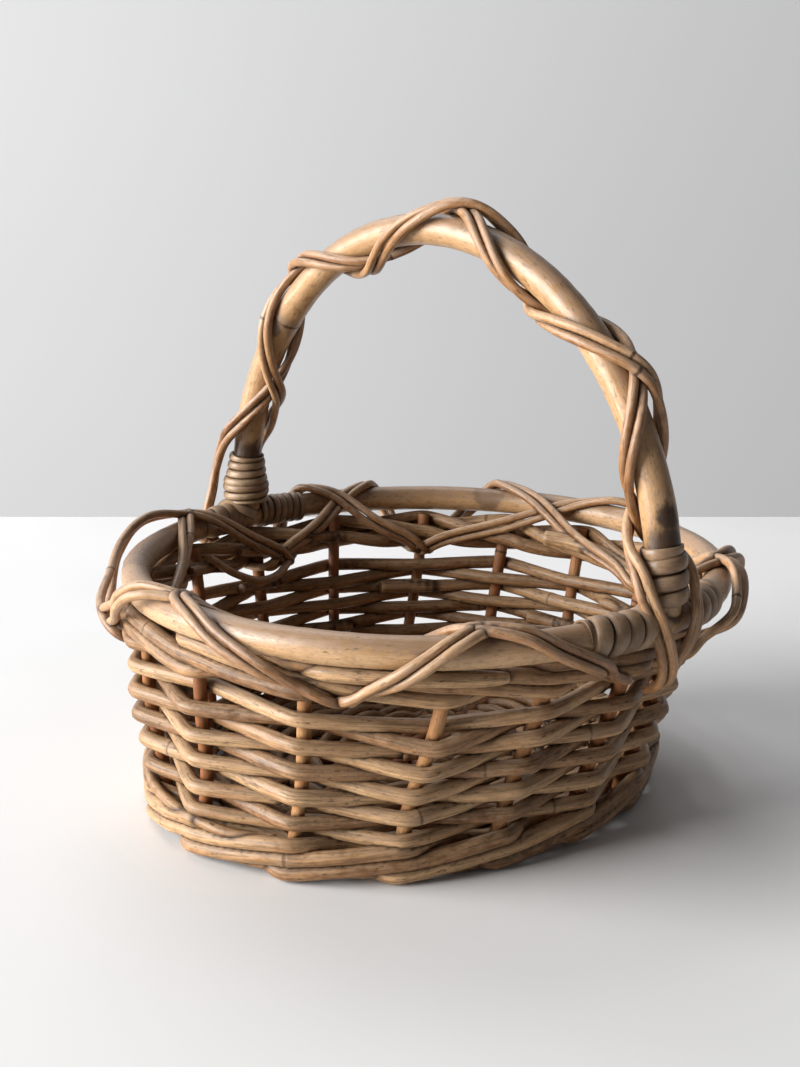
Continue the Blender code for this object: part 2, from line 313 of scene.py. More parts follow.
def coil(node, place, turns, length, inner, rng, thick, tint):
    """A flat strip wound round a cane; its two ends are cut flush with the coil.
    place(distance) gives the middle of the cane and two directions across it,
    and inner(share) the radius that the strip lies on."""
    per_turn = 32
    pitch = length / turns
    gap = 0.0002
    half = pitch * 0.5 - gap * 0.5
    start = -half * 0.80
    span = length - 2.0 * start
    whole_turns = span / pitch
    steps = int(whole_turns * per_turn)
    count = int(whole_turns) + 3
    shifts = [rng.uniform(-0.14, 0.14) * pitch for _ in range(count)]
    lifts = [rng.uniform(0.0, 0.00055) for _ in range(count)]
    tilts = [rng.uniform(-0.10, 0.10) for _ in range(count)]
    verts = []
    grains = []
    tints = []
    edge_shades = []
    run = 0.0
    for k in range(steps + 1):
        wound = whole_turns * k / steps
        whole = int(wound)
        blend = ease(wound - whole)
        side_shift = shifts[whole] * (1.0 - blend) + shifts[whole + 1] * blend
        lift = lifts[whole] * (1.0 - blend) + lifts[whole + 1] * blend
        tilt = tilts[whole] * (1.0 - blend) + tilts[whole + 1] * blend
        middle = start + span * k / steps
        turn = TAU * wound
        shown = min(middle + half, length) - max(middle - half, 0.0)
        share_shown = min(1.0, shown / (1.4 * half))
        for across, rise in STRIP_PROFILE:
            reach = middle + across * half + side_shift + tilt * half * sin(turn + 1.0)
            reach = max(0.0, min(length, reach))
            centre, outward, side = place(reach)
            radial = outward * cos(turn) + side * sin(turn)
            base = inner(reach / length) + lift
            verts.append(centre + radial * (base + thick * rise * share_shown))
            grains.append((across * half, rise * thick, run))
            # Painted shade: the strip's edges, where the turns meet, and its part-hidden ends are marked
            # to be darkened.
            edge_shades.append(max(abs(across) ** 6, 1.0 - share_shown))
        tints += [tint + 0.20 * sin(wound * 2.1)] * len(STRIP_PROFILE)
        run += TAU * inner(0.5) / per_turn
    make_strip(node + "_strip", verts, grains, tints, edge_shades, node)


def band(name, spine, lift, half, thick, node, rng):
    """A short flat strip laid along a spine, with lift as its upper side."""
    spine = smooth(spine, 2)
    along = tangents(spine)
    ups = smooth(lift, 2)
    ups = unit_rows(ups - along * np.sum(ups * along, axis=1)[:, None])
    across = np.cross(along, ups)
    run = lengths(spine)
    verts = []
    grains = []
    edge_shades = []
    for spot, up, beside, depth in zip(spine, ups, across, run):
        for wide, rise in STRIP_PROFILE:
            verts.append(spot + beside * wide * half + up * thick * rise)
            grains.append((wide * half, rise * thick, depth))
            # Painted shade: the strip's edges are marked to be darkened.
            edge_shades.append(abs(wide) ** 5)
    make_strip(name, verts, grains, rng.uniform(0.6, 1.0), edge_shades, node)


def shade_crevices():
    """Marks how close each point of a rod lies to the rods around it; the material paints shade, partly
    dirt, where it lies close.
    """
    look_around = 0.0115
    fade = 0.0010
    spots = []
    radii = []
    owners = []
    for number, (_, path, size, _) in enumerate(RODS):
        for point, radius in zip(path[::2], size[::2]):
            spots.append(point)
            radii.append(radius)
            owners.append(number)
    spots = np.array(spots)
    radii = np.array(radii)
    owners = np.array(owners)
    tree = KDTree(len(spots))
    for number, spot in enumerate(spots):
        tree.insert(spot, number)
    tree.balance()
    for number, (obj, path, size, sides) in enumerate(RODS):
        mesh = obj.data
        verts = np.empty(len(mesh.vertices) * 3)
        mesh.vertices.foreach_get("co", verts)
        verts = verts.reshape(-1, 3)
        near = np.zeros(len(verts))
        for ring in range(len(path)):
            found = tree.find_range(path[ring], size[ring] + look_around)
            keep = [hit[1] for hit in found if owners[hit[1]] != number]
            if not keep:
                continue
            skin = verts[ring * sides:(ring + 1) * sides]
            gap = np.linalg.norm(skin[:, None, :] - spots[keep][None, :, :], axis=2)
            gap = np.min(gap - radii[keep][None, :], axis=1)
            near[ring * sides:(ring + 1) * sides] = np.exp(-np.clip(gap, 0.0, 1.0) / fade)
        store = mesh.attributes.new("near", "FLOAT", "POINT")
        store.data.foreach_set("value", near.astype(np.float32))


# ---- materials
class Graph:
    """Short names for building one material's nodes."""

    def __init__(self, name):
        self.material = bpy.data.materials.new(name)
        self.material.use_nodes = True
        self.tree = self.material.node_tree
        self.shader = self.tree.nodes["Principled BSDF"]

    def link(self, source, target):
        self.tree.links.new(source, target)

    def node(self, kind, values, **settings):
        """A new node with its settings, and its inputs set or linked."""
        node = self.tree.nodes.new("ShaderNode" + kind)
        for setting, value in settings.items():
            setattr(node, setting, value)
        for socket, value in values.items():
            if isinstance(value, bpy.types.NodeSocket):
                self.link(value, node.inputs[socket])
            else:
                node.inputs[socket].default_value = value
        return node

    def attribute(self, name, output="Fac"):
        return self.node("Attribute", {}, attribute_name=name).outputs[output]

    def stretch(self, source, scale):
        return self.node("VectorMath", {0: source, 1: scale}, operation="MULTIPLY").outputs[0]

    def noise(self, vector, scale, detail, roughness, distortion=0.0):
        values = {"Vector": vector, "Scale": scale, "Detail": detail, "Roughness": roughness,
                  "Distortion": distortion}
        return self.node("TexNoise", values).outputs["Fac"]

    def math(self, kind, first, second=0.0, clamp=False):
        return self.node("Math", {0: first, 1: second}, operation=kind, use_clamp=clamp).outputs[0]

    def times(self, first, second):
        return self.math("MULTIPLY", first, second)

    def plus(self, first, second):
        return self.math("ADD", first, second)

    def minus(self, first, second, clamp=False):
        return self.math("SUBTRACT", first, second, clamp)

    def remap(self, value, low, high, to_low=0.0, to_high=1.0):
        values = {"Value": value, "From Min": low, "From Max": high, "To Min": to_low, "To Max": to_high}
        return self.node("MapRange", values, interpolation_type="SMOOTHSTEP").outputs["Result"]

    def mix(self, factor, first, second, blend="MIX"):
        first, second = (tone + (1.0,) if isinstance(tone, tuple) else tone for tone in (first, second))
        values = {"Factor": factor, 6: first, 7: second}
        return self.node("Mix", values, data_type="RGBA", blend_type=blend).outputs[2]

    def darken(self, base, share):
        """Multiplies a colour by a number."""
        return self.mix(1.0, base, self.mix(share, (0.0, 0.0, 0.0), (1.0, 1.0, 1.0)), "MULTIPLY")

    def ramp(self, value, stops):
        node = self.node("ValToRGB", {"Fac": value})
        elements = node.color_ramp.elements
        while len(elements) < len(stops):
            elements.new(0.5)
        for element, (place, tone) in zip(elements, stops):
            element.position = place
            element.color = tone + (1.0,)
        return node.outputs["Color"]

    def bump(self, height, strength, distance, **normal):
        values = {"Strength": strength, "Distance": distance, "Height": height, **normal}
        return self.node("Bump", values).outputs["Normal"]


def colour(red, green, blue):
    """Display values out of 255 to linear light."""
    result = []
    for value in (red, green, blue):
        share = value / 255.0
        if share <= 0.04045:
            result.append(share / 12.92)
        else:
            result.append(((share + 0.055) / 1.055) ** 2.4)
    return tuple(result)


def cane_material(name, tones, grey, ring, **look):
    """Natural cane: long grain, patches of weathering, dark joints, cut ends,
    dust on what faces up, painted shade, partly dirt, in the crevices, and patches of painted shade
    where given. tones runs from dark to pale, grey is the weathered skin and ring the colour of joints
    and stains."""
    g = Graph(name)
    rod_place = g.attribute("rod", "Vector")
    joint = g.math("ABSOLUTE", g.attribute("joint"))
    near = g.attribute("near")

    def grain(stretch, scale, detail, roughness, distortion=0.0):
        return g.noise(g.stretch(rod_place, (1.0, 1.0, stretch)), scale, detail, roughness, distortion)

    fine_scale = look.get("streak_scale", 1500.0)
    streak = grain(0.05, fine_scale, 5.0, 0.7)
    fibre = grain(0.10, fine_scale * 2.6, 3.0, 0.6)
    mottle = grain(0.55, 380.0, 5.0, 0.68)
    patch = grain(0.55, 75.0, 4.0, 0.6, 0.5)
    uneven = g.minus(mottle, 0.5)

    def ragged(field, amount):
        """A field with an uneven edge."""
        return g.plus(field, g.times(uneven, amount))

    tone = g.plus(g.times(patch, 0.8), g.times(g.attribute("tint"), 0.42))
    tone = g.minus(tone, 0.12, clamp=True)
    base = g.ramp(tone, ((0.18, tones[0]), (0.46, tones[1]), (0.80, tones[2])))
    split = g.node("SeparateXYZ", {0: g.node("NewGeometry", {}).outputs["Normal"]})
    upward = g.remap(split.outputs["Z"], -0.35, 0.85)
    worn = g.remap(g.plus(g.times(upward, 0.32), mottle), 0.46, 0.86)
    base = g.mix(g.times(worn, look.get("weathering", 0.6)), base, grey)
    base = g.darken(base, g.remap(streak, 0.30, 0.66, look.get("streak_low", 0.74), 1.08))
    base = g.darken(base, g.remap(mottle, 0.36, 0.62, look.get("blotch", 0.85), 1.08))
    base = g.darken(base, g.remap(fibre, 0.34, 0.62, 0.88, 1.05))

    crack = g.math("ABSOLUTE", g.minus(grain(0.025, 520.0, 2.0, 0.5), 0.5))
    crack = g.times(g.remap(crack, 0.0, 0.014, 1.0, 0.0), g.remap(patch, 0.46, 0.60))
    base = g.mix(g.times(crack, look.get("cracks", 0.4)), base, ring)
    speck = g.remap(grain(0.28, look.get("speck_scale", 1500.0), 3.0, 0.6), 0.60, 0.72)
    base = g.mix(g.times(speck, look.get("specks", 0.5)), base, ring)
    stain = g.times(g.remap(mottle, 0.50, 0.72), g.remap(patch, 0.50, 0.66))
    base = g.mix(g.times(stain, look.get("stain", 0.5)), base, ring)

    joint_edge = ragged(joint, 0.0026)
    band_line = g.remap(joint_edge, 0.00030, 0.00100, 1.0, 0.0)
    halo = g.remap(joint_edge, 0.0010, 0.0075, 1.0, 0.0)
    base = g.mix(g.times(halo, look.get("halo", 0.42)), base, grey)
    base = g.mix(g.times(band_line, look.get("band", 0.85)), base, ring)
    scar = g.remap(ragged(g.attribute("scar"), 0.5), 0.34, 0.52)
    base = g.mix(g.times(scar, 0.8), base, look.get("scar", grey))
    # Painted shade: dark patches on the shaded sides of the handle's feet.
    soot = g.remap(ragged(g.attribute("soot"), 0.6), 0.36, 0.80)
    base = g.mix(g.times(soot, 0.92), base, SHADE_AND_DIRT_TONE)
    # Painted shade, partly dirt: darker where a rod lies close to other rods and along the strips'
    # edges.
    grime = g.remap(ragged(near, 0.5), 0.12, 0.95)
    base = g.mix(g.times(grime, look.get("grime", 0.85)), base, SHADE_AND_DIRT_TONE)
    pith = g.mix(g.remap(streak, 0.35, 0.65), PITH, tones[0])
    base = g.mix(g.remap(g.attribute("cut"), 0.3, 0.7), base, pith)
    g.link(base, g.shader.inputs["Base Color"])

    gloss = look.get("roughness", 0.50)
    rough = g.plus(g.remap(mottle, 0.3, 0.7, gloss - 0.08, gloss + 0.12), g.times(near, 0.2))
    g.link(rough, g.shader.inputs["Roughness"])
    g.shader.inputs["Specular IOR Level"].default_value = look.get("specular", 0.38)
    height = g.plus(g.times(streak, 0.5), g.times(mottle, 0.5))
    height = g.minus(g.minus(height, g.times(crack, 0.5)), g.times(band_line, 0.6))
    normal = g.bump(height, 0.5, 0.00045)
    g.link(g.bump(fibre, 0.25, 0.00012, Normal=normal), g.shader.inputs["Normal"])
    return g.material


# Dark brown for painted shade, partly dirt, in the crevices and on the strips' edges, and for painted
# shade on the handle's feet.
SHADE_AND_DIRT_TONE = colour(38, 20, 9)
PITH = colour(92, 62, 38)
DARK_RING = colour(56, 34, 19)
GREY = colour(160, 132, 104)
# What the rods of the weave and of the wales share.
WEAVE_AND_WALE_LOOK = {"streak_scale": 820.0, "roughness": 0.44, "specular": 0.34, "band": 0.55, "grime": 0.92}
WEAVER = cane_material(
    "weaver_cane",
    (colour(112, 73, 42), colour(180, 136, 94), colour(220, 180, 134)), GREY, DARK_RING,
    weathering=0.78, stain=0.75, streak_low=0.48, speck_scale=760.0, specks=0.7, blotch=0.74,
    **WEAVE_AND_WALE_LOOK,
)
WALE = cane_material(
    "wale_cane",
    (colour(112, 72, 40), colour(182, 136, 92), colour(220, 178, 130)), GREY, DARK_RING,
    weathering=0.72, stain=0.8, streak_low=0.46, speck_scale=700.0, specks=0.75, blotch=0.70,
    **WEAVE_AND_WALE_LOOK,
)
STAKE = cane_material(
    "stake_cane",
    (colour(104, 56, 26), colour(156, 98, 54), colour(210, 164, 112)),
    colour(138, 102, 72), colour(52, 28, 15),
    weathering=0.3,
)
THICK = cane_material(
    "thick_cane",
    (colour(166, 124, 80), colour(194, 152, 106), colour(214, 174, 130)),
    colour(146, 118, 94), colour(72, 48, 30),
    weathering=0.95, streak_scale=900.0, streak_low=0.88, roughness=0.34, specular=0.55,
    halo=0.75, scar=colour(114, 91, 73), blotch=0.74, specks=0.65, speck_scale=900.0,
    cracks=0.3, stain=0.6, grime=0.8,
)
BINDING = cane_material(
    "binding_strip",
    (colour(118, 90, 66), colour(158, 129, 100), colour(186, 158, 126)),
    colour(142, 120, 100), colour(66, 46, 32),
    weathering=0.5, roughness=0.34, specular=0.42, streak_low=0.86, cracks=0.15, grime=0.72,
)
LACING = cane_material(
    "lacing_cane",
    (colour(128, 82, 46), colour(174, 126, 82), colour(208, 164, 118)),
    colour(172, 146, 122), colour(62, 38, 22),
    weathering=0.7, streak_scale=1150.0, streak_low=0.60, speck_scale=900.0, specks=0.6,
    blotch=0.78, roughness=0.38, specular=0.5, grime=0.9,
)


# ---- the wall
def ease(value):
    value = max(0.0, min(1.0, value))
    return value * value * (3.0 - 2.0 * value)


def apart(theta, other):
    """Difference of two angles, between minus and plus half a turn."""
    return (theta - other + pi) % TAU - pi


def hump(theta, middle, width):
    """One at an angle, in degrees, and falling to nothing on both sides."""
    return exp(-((apart(theta, radians(middle)) / radians(width)) ** 2))


def belly(theta, z):
    """The wall stands out on one side under the rim."""
    return 0.0090 * hump(theta, 238.0, 30.0) * ease((z - 0.020) / 0.050)


def sag(theta):
    """The rim hangs a little low on one side."""
    return 0.0020 * hump(theta, 252.0, 27.0)


def base_edge(theta):
    """Reach of the oval foot from its own centre."""
    return FOOT_RADIUS * (1.0 + FOOT_OVAL * cos(2.0 * (theta - FOOT_LONG_AXIS)))


def wall_point(theta, z, outward):
    """A point on the wall, outward from the line of the stakes."""
    inset = ROD_OUT + ROD_REACH
    foot = base_edge(theta) - inset
    top = RIM_RADIUS - inset
    share = z / RIM_Z
    x = (1.0 - share) * (FOOT_CENTRE[0] + foot * cos(theta)) + share * top * cos(theta)
    y = (1.0 - share) * (FOOT_CENTRE[1] + foot * sin(theta)) + share * top * sin(theta)
    reach = outward + belly(theta, z)
    return MIDDLE + np.array([x + reach * cos(theta), y + reach * sin(theta), z])


def wall_line(table):
    """Points from angles in degrees, heights and outward reaches."""
    return [wall_point(radians(angle), z, outward) for angle, z, outward in table]


def stake_angle(index, z=0.045):
    """Angle of a stake at a height: none stands quite upright."""
    number = index % STAKES
    if number in LEANS:
        foot, top = LEANS[number]
    else:
        foot, top = 0.9 * sin(number * 2.4), 1.0 * sin(number * 1.7 + 1.0)
    lean = foot * ease((0.050 - z) / 0.040) + top * ease((z - 0.040) / 0.035)
    return TAU * index / STAKES + radians(lean)


def row_height(row, theta):
    """Rows rise and fall a little together, and sit lower by one corner stake."""
    height = ROW_FIRST_Z + row * ROW_PITCH
    height -= (height - ROW_FIRST_Z) * 0.115 * hump(theta, 316.0, 13.0)
    return height + 0.00045 * sin(3.0 * theta + 1.3) + 0.00035 * sin(5.0 * theta + 2.6)


def build_stakes():
    for index in range(STAKES):
        rng = random.Random(100 + index)
        line = []
        for z in (0.0045, 0.02, 0.04, 0.06, 0.08, 0.104):
            line.append(wall_point(stake_angle(index, z), z, rng.uniform(-0.0004, 0.0004)))
        node = "stake_%02d" % (index + 1)
        tint = STAKE_TINTS.get(index, rng.uniform(0.15, 0.6))
        rod(node + "_cane", smooth(line, 2), STAKE_R, STAKE, node, "stake_cane", rng,
            spacing=0.3, tint=tint)


def build_weave():
    """Rows in front of one stake and behind the next, each of two rods whose
    butt ends lie on the inside."""
    for row in range(ROWS):
        rng = random.Random(200 + row)
        middle = ROW_FIRST_Z + row * ROW_PITCH
        first = (row * 5 + 3) % STAKES
        if (row + first) % 2 == 0:
            first += 1
        node = "weave_row_%02d" % (row + 1)
        for part in range(2):
            begin = first + part * REACH
            thick = ROD_R * rng.uniform(0.95, 1.05)
            points = []
            for index in range(begin, begin + REACH + 1):
                side = ROD_OUT if (row + index) % 2 == 0 else -ROD_OUT
                side += rng.uniform(-0.0004, 0.0004)
                drift = rng.uniform(-0.0006, 0.0006)
                for turn in (-ROD_FLAT, ROD_FLAT):
                    angle = stake_angle(index, middle) + turn
                    points.append(wall_point(angle, row_height(row, angle) + drift, side))
            tail = stake_angle(begin + REACH, middle) + radians(rng.uniform(7.0, 11.0))
            points.append(wall_point(tail, row_height(row, tail) + 0.0008, -ROD_OUT - 0.0030))
            head = stake_angle(begin, middle) - radians(rng.uniform(3.0, 6.0))
            points.insert(0, wall_point(head, row_height(row, head) - 0.0006, -ROD_OUT + 0.0006))
            name = "%s_rod_%s" % (node, "ab"[part])
            rod(name, smooth(points, 3), thick, WEAVER, node, "weaving_rod", rng, tips=(1.0, 0.9))


# Where a strand of a wale is at each of four stakes, and after each: outward and
# up. It passes three stakes outside and the fourth inside.
AT_STAKE = ((-1.0, 0.0), (1.0, 1.0), (1.0, 0.0), (1.0, -1.0))
BETWEEN = ((-1.0, 0.7), (1.0, 0.5), (1.0, -0.5), (-1.0, -0.7))


def build_wale(prefix, middle_z, twist, seed, butts):
    """Four strands twisted round the stakes, each of two rods; butts gives the
    stakes where the rods of each strand begin."""
    floor_gap = 0.0003
    for strand in range(4):
        rng = random.Random(seed + strand)
        node = "%s_%d" % (prefix, strand + 1)
        for part in range(2):
            start = butts[strand] + part * REACH
            thick = WALE_R * rng.uniform(0.88, 1.06)
            points = []
            for index in range(start, start + REACH + 1):
                place = (index + strand) % 4
                steps = (
                    (-ROD_FLAT, AT_STAKE[place]),
                    (ROD_FLAT, AT_STAKE[place]),
                    (pi / STAKES, BETWEEN[place]),
                )
                wobble = rng.uniform(-0.0006, 0.0006)
                for turn, (outward, rise) in steps:
                    angle = stake_angle(index, middle_z) + turn
                    z = middle_z + twist * rise * WALE_STEP * 0.97 + wobble
                    z += 0.0005 * sin(3.0 * angle + 0.4)
                    z -= 0.6 * sag(angle) if twist > 0.0 else 0.0
                    z = max(z, 1.12 * thick + floor_gap)
                    points.append(wall_point(angle, z, outward * (ROD_OUT + 0.0003) + wobble))
            inward = np.array([-cos(angle), -sin(angle), 0.0])
            points[-1] = points[-1] + inward * 0.0050
            name = "%s_rod_%s" % (node, "ab"[part])
            rod(name, smooth(points, 3), thick, WALE, node, "wale_rod", rng,
                tips=(0.8, 0.55), tip_length=0.03)


def build_wale_ends():
    """Butt ends added to the top wale, outside and inside, and two thin rods
    that fill the foot wale."""
    rng = random.Random(480)
    outside = wall_line((
        (293.0, 0.0985, ROD_OUT + 0.0006),
        (297.0, 0.1000, ROD_OUT + 0.0036),
        (308.0, 0.1004, ROD_OUT + 0.0058),
        (318.5, 0.0999, ROD_OUT + 0.0060),
        (328.5, 0.0982, ROD_OUT + 0.0036),
    ))
    rod("top_wale_2_end", smooth(outside, 3), 0.0036, WALE, "top_wale_2", "wale_rod", rng,
        tips=(0.35, 0.62), tip_length=0.012, marks=[], tint=0.9)
    inside = wall_line((
        (60.0, 0.0900, -ROD_OUT),
        (72.0, 0.0945, -ROD_OUT - 0.0030),
        (84.0, 0.0985, -ROD_OUT - 0.0058),
        (91.0, 0.1000, -ROD_OUT - 0.0078),
        (96.5, 0.1004, -ROD_OUT - 0.0115),
    ))
    rod("top_wale_4_end", smooth(inside, 3), 0.0040, WALE, "top_wale_4", "wale_rod", rng, marks=[])
    for node, low, high, top, bottom, out, thick in (
        ("foot_wale_3", 222.0, 287.0, 0.0205, 0.0168, 0.0008, 0.0024),
        ("foot_wale_4", 258.0, 350.0, 0.0052, 0.0030, -0.0016, 0.0022),
    ):
        line = []
        for k in range(15):
            share = k / 14.0
            tuck = 0.0060 * (1.0 - ease(share / 0.12)) + 0.0060 * ease((share - 0.88) / 0.12)
            z = top + (bottom - top) * share + 0.0008 * sin(4.0 * share)
            line.append((low + (high - low) * share, z, ROD_OUT + out - tuck))
        rod(node + "_thin", smooth(wall_line(line), 2), thick, WALE, node, "wale_rod", rng, tint=0.35)


# ---- the base
def base_point(theta, reach, z):
    x = FOOT_CENTRE[0] + reach * cos(theta)
    y = FOOT_CENTRE[1] + reach * sin(theta)
    return MIDDLE + np.array([x, y, z])


def build_base():
    """Sticks crossed in the middle and fanned out, woven round and round."""
    floor_z = 0.0112
    lane_width = 0.0056
    for index in range(4):
        node = "base_stick_%d" % (index + 1)
        main = 0.0 if index < 2 else pi / 2.0
        level = 0.0098 if index < 2 else 0.0125
        for branch in range(2):
            rng = random.Random(500 + index * 2 + branch)
            lane = (index % 2) * 2 + branch - 1.5
            lean = np.array([-sin(main), cos(main), 0.0]) * lane * lane_width
            points = []
            for side in (-1.0, 1.0):
                heading = main + (pi if side < 0.0 else 0.0)
                angle = heading + TAU * lane / STAKES * side
                near = base_point(heading, 0.024, level) + lean
                far = base_point(angle, base_edge(angle) - 0.0165, floor_z)
                points += [far, near] if side < 0.0 else [near, far]
            name = "%s_spoke_%s" % (node, "ab"[branch])
            rod(name, smooth(points, 3), 0.0027, STAKE, node, "base_stick", rng, rough=0.8, tint=0.25)
    inner, pitch = 0.24, 0.0505
    for turn in range(15):
        rng = random.Random(540 + turn)
        node = "base_ring_%d" % (turn // 3 + 1)
        points = []
        for k in range(65):
            theta = TAU * k / 64 + 0.9
            grow = pitch * (k / 64.0 - 0.5)
            reach = (inner + pitch * turn + grow) * (base_edge(theta) - 0.013)
            wave = 0.0030 * cos(8.0 * theta + pi * turn)
            points.append(base_point(theta, reach, floor_z + wave))
        name = "%s_rod_%s" % (node, "abc"[turn % 3])
        rod(name, smooth(points, 2), 0.0026, WEAVER, node, "base_rod", rng, sides=10, tint=0.2)


# ---- rim and handle
def rim_point(theta, outward, rise):
    reach = RIM_RADIUS + outward
    rise -= sag(theta)
    return MIDDLE + np.array([reach * cos(theta), reach * sin(theta), RIM_Z + rise])


def build_rim():
    """One thick cane bent to a ring; its joints and scars are placed in degrees."""
    rng = random.Random(7)
    start = radians(4.0)
    points = []
    for k in range(181):
        theta = start + TAU * k / 180
        wobble = 0.0006 * sin(2.0 * theta + 0.6) + 0.0004 * sin(5.0 * theta)
        points.append(rim_point(theta, wobble, 0.0005 * sin(3.0 * theta + 1.0)))
    full = TAU * RIM_RADIUS
    marks = [((radians(a) - start) % TAU) / TAU * full for a in (196.0, 229.0)]
    scars = ((118.0, 0.0105), (214.0, 0.0150), (224.0, 0.0160), (232.0, 0.0130))
    scar = [(rim_point(radians(angle), -0.003, 0.005), reach) for angle, reach in scars]
    rod("rim_hoop_cane", np.array(points), RIM_R, THICK, "rim_hoop", "rim_cane", rng,
        sides=28, step=0.0016, marks=marks, rough=0.6, swell=0.045, scar=scar)


def handle_point(t):
    """The middle of the arch, from 0 at its right foot to pi at its left."""
    x = RIM_RADIUS * cos(t)
    z = HANDLE_FOOT_Z + HANDLE_RISE * sin(t)
    return MIDDLE + np.array([x, 0.0, z])


def handle_frame(t):
    """Direction along the arch, out of it, and sideways."""
    along = np.array([-RIM_RADIUS * sin(t), 0.0, HANDLE_RISE * cos(t)])
    along /= np.linalg.norm(along)
    return along, np.array([along[2], 0.0, -along[0]]), np.array([0.0, 1.0, 0.0])


def build_handle():
    """One thick cane bent to an arch, with painted shade on the shaded sides of its feet where they
    enter the bindings.
    """
    rng = random.Random(11)
    steps = 120
    joint_share = 0.765
    foot = np.array([0.0, 0.0, 0.0035])
    points = [handle_point(pi * k / steps) for k in range(steps + 1)]
    path = np.array([points[0] - foot] + points + [points[-1] - foot])
    marks = [lengths(path)[1 + int(steps * joint_share)]]
    side = handle_frame(0.0)[2]
    scar = handle_point(radians(138.5)) - side * HANDLE_R
    # Painted shade: dark patches on the sides of the feet turned away from the key light.
    soot = []
    for angle, out, reach in ((9.0, 0.0062, 0.0150), (14.0, 0.0074, 0.0080), (169.5, -0.0040, 0.0130)):
        outward = handle_frame(radians(angle))[1]
        soot.append((handle_point(radians(angle)) + outward * out - side * 0.003, reach))
    rod("handle_arch_cane", path, HANDLE_R, THICK, "handle_arch", "handle_cane", rng,
        sides=30, step=0.0016, marks=marks, rough=0.7, swell=0.055, scar=[(scar, 0.0062)], soot=soot)


def build_bindings():
    """Strips round the handle's feet and round the rim beside them, and a short
    one laid over the left foot."""

    def on_handle(right):
        direction = 1.0 if right else -1.0

        def place(distance):
            t = asin(min(1.0, (0.0010 + distance) / HANDLE_RISE))
            t = t if right else pi - t
            _, outward, side = handle_frame(t)
            return handle_point(t), outward, side * direction

        return place

    def on_rim(start, end):
        span = abs(end - start) * RIM_RADIUS

        def place(distance):
            theta = start + (end - start) * distance / span
            outward = np.array([cos(theta), sin(theta), 0.0])
            return rim_point(theta, 0.0, 0.0), outward, np.array([0.0, 0.0, 1.0])

        return place, span

    rng = random.Random(31)
    # Painted shade: the right foot's winding gets a low tint, so it is darker than the left one.
    coil("handle_binding_right", on_handle(True), 3.6, 0.0235,
         lambda share: HANDLE_R + 0.0010 - 0.0009 * share, rng, 0.0019, 0.05)
    coil("handle_binding_left", on_handle(False), 6.2, 0.0258,
         lambda share: HANDLE_R + 0.0029 * ease((1.0 - share) / 0.75) + 0.0001, rng, 0.0017, 0.5)
    # Each winding of the rim: from and to, in degrees, turns, thickness.
    spans = (
        ("rim_binding_right_a", -19.0, -4.0, 4.6, 0.0019),
        ("rim_binding_right_b", 4.5, 17.0, 4.0, 0.0019),
        ("rim_binding_left_a", 165.5, 177.5, 6.5, 0.0015),
        ("rim_binding_left_b", 183.0, 192.0, 2.6, 0.0012),
    )
    for node, low, high, turns, thick in spans:
        place, span = on_rim(radians(low), radians(high))
        # Painted shade: the windings on the rim's right side get a lower tint, so they are darker.
        tint = 0.1 if low < 90.0 else 0.35
        coil(node, place, turns, span, lambda share: RIM_R + 0.0001, rng, thick, tint)
    # The saddle: places from the middle of the foot, and which way its top faces.
    saddle = np.array((
        (-0.0100, -0.0085, -0.0020, -0.6, -0.3, 0.7),
        (-0.0060, -0.0125, 0.0002, -0.2, -0.6, 0.8),
        (0.0010, -0.0125, 0.0006, 0.2, -0.6, 0.8),
        (0.0075, -0.0085, -0.0016, 0.6, -0.4, 0.7),
        (0.0098, -0.0020, -0.0060, 0.9, -0.1, 0.2),
    ))
    spine = handle_point(pi) + saddle[:, :3]
    band("handle_binding_left_saddle", spine, saddle[:, 3:], 0.0030, 0.0013, "handle_binding_left", rng)


# ---- lacing
def catmull(points, per_span):
    """A smooth open path through all the points."""
    path = np.asarray(points, float)
    longer = np.vstack([2 * path[0] - path[1], path, 2 * path[-1] - path[-2]])
    out = []
    for i in range(len(path) - 1):
        a, b, c, d = longer[i:i + 4]
        for k in range(per_span):
            t = k / per_span
            bend = (2 * a - 5 * b + 4 * c - d) * t * t + (3 * b - a - 3 * c + d) * t * t * t
            out.append(0.5 * (2 * b + (c - a) * t + bend))
    out.append(path[-1])
    return np.array(out)


def pair_of_rods(prefix, path, cores, spreads, seed):
    """Two thin rods side by side along one path, lying on what they wrap."""
    along = tangents(path)
    away = path - cores
    away = unit_rows(away - along * np.sum(away * along, axis=1)[:, None])
    beside = unit_rows(np.cross(along, away))
    run = lengths(path)
    for strand, lean in enumerate((-1.0, 1.0)):
        rng = random.Random(seed + strand)
        gap = (LACE_R * 1.03 + spreads) * (1.0 + 0.10 * wander(run, rng, 0.12))
        lift = 0.0005 * (wander(run, rng, 0.07) + 0.6)
        line = path + beside * (lean * gap)[:, None] + away * lift[:, None]
        node = "%s_%d" % (prefix, strand + 1)
        rod(node + "_cane", line, LACE_R, LACING, node, "lacing_rod", rng,
            sides=12, step=0.0016, spacing=0.4)


# Where each turn goes over the rim, under the top wale and over the rim again,
# in degrees, and how far it stands off outside, in metres.
LACING_A = (
    (-95.0, -61.0, -37.0, 0.0),
    (-37.0, -6.5, 31.0, 0.0),
    (31.0, 58.0, 114.0, 0.0020),
    (114.0, 130.5, 162.0, 0.0),
    (162.0, 172.0, 200.0, 0.0),
    (200.0, 241.0, 265.0, 0.0065),
)
LACING_B = (
    (262.0, 234.0, 200.0, 0.0040),
    (200.0, 184.0, 149.0, 0.0),
    (149.0, 139.5, 87.0, 0.0),
    (87.0, 62.0, 33.0, 0.0),
    (33.0, 12.0, -36.0, 0.0030),
    (-36.0, -58.0, -98.0, 0.0),
)


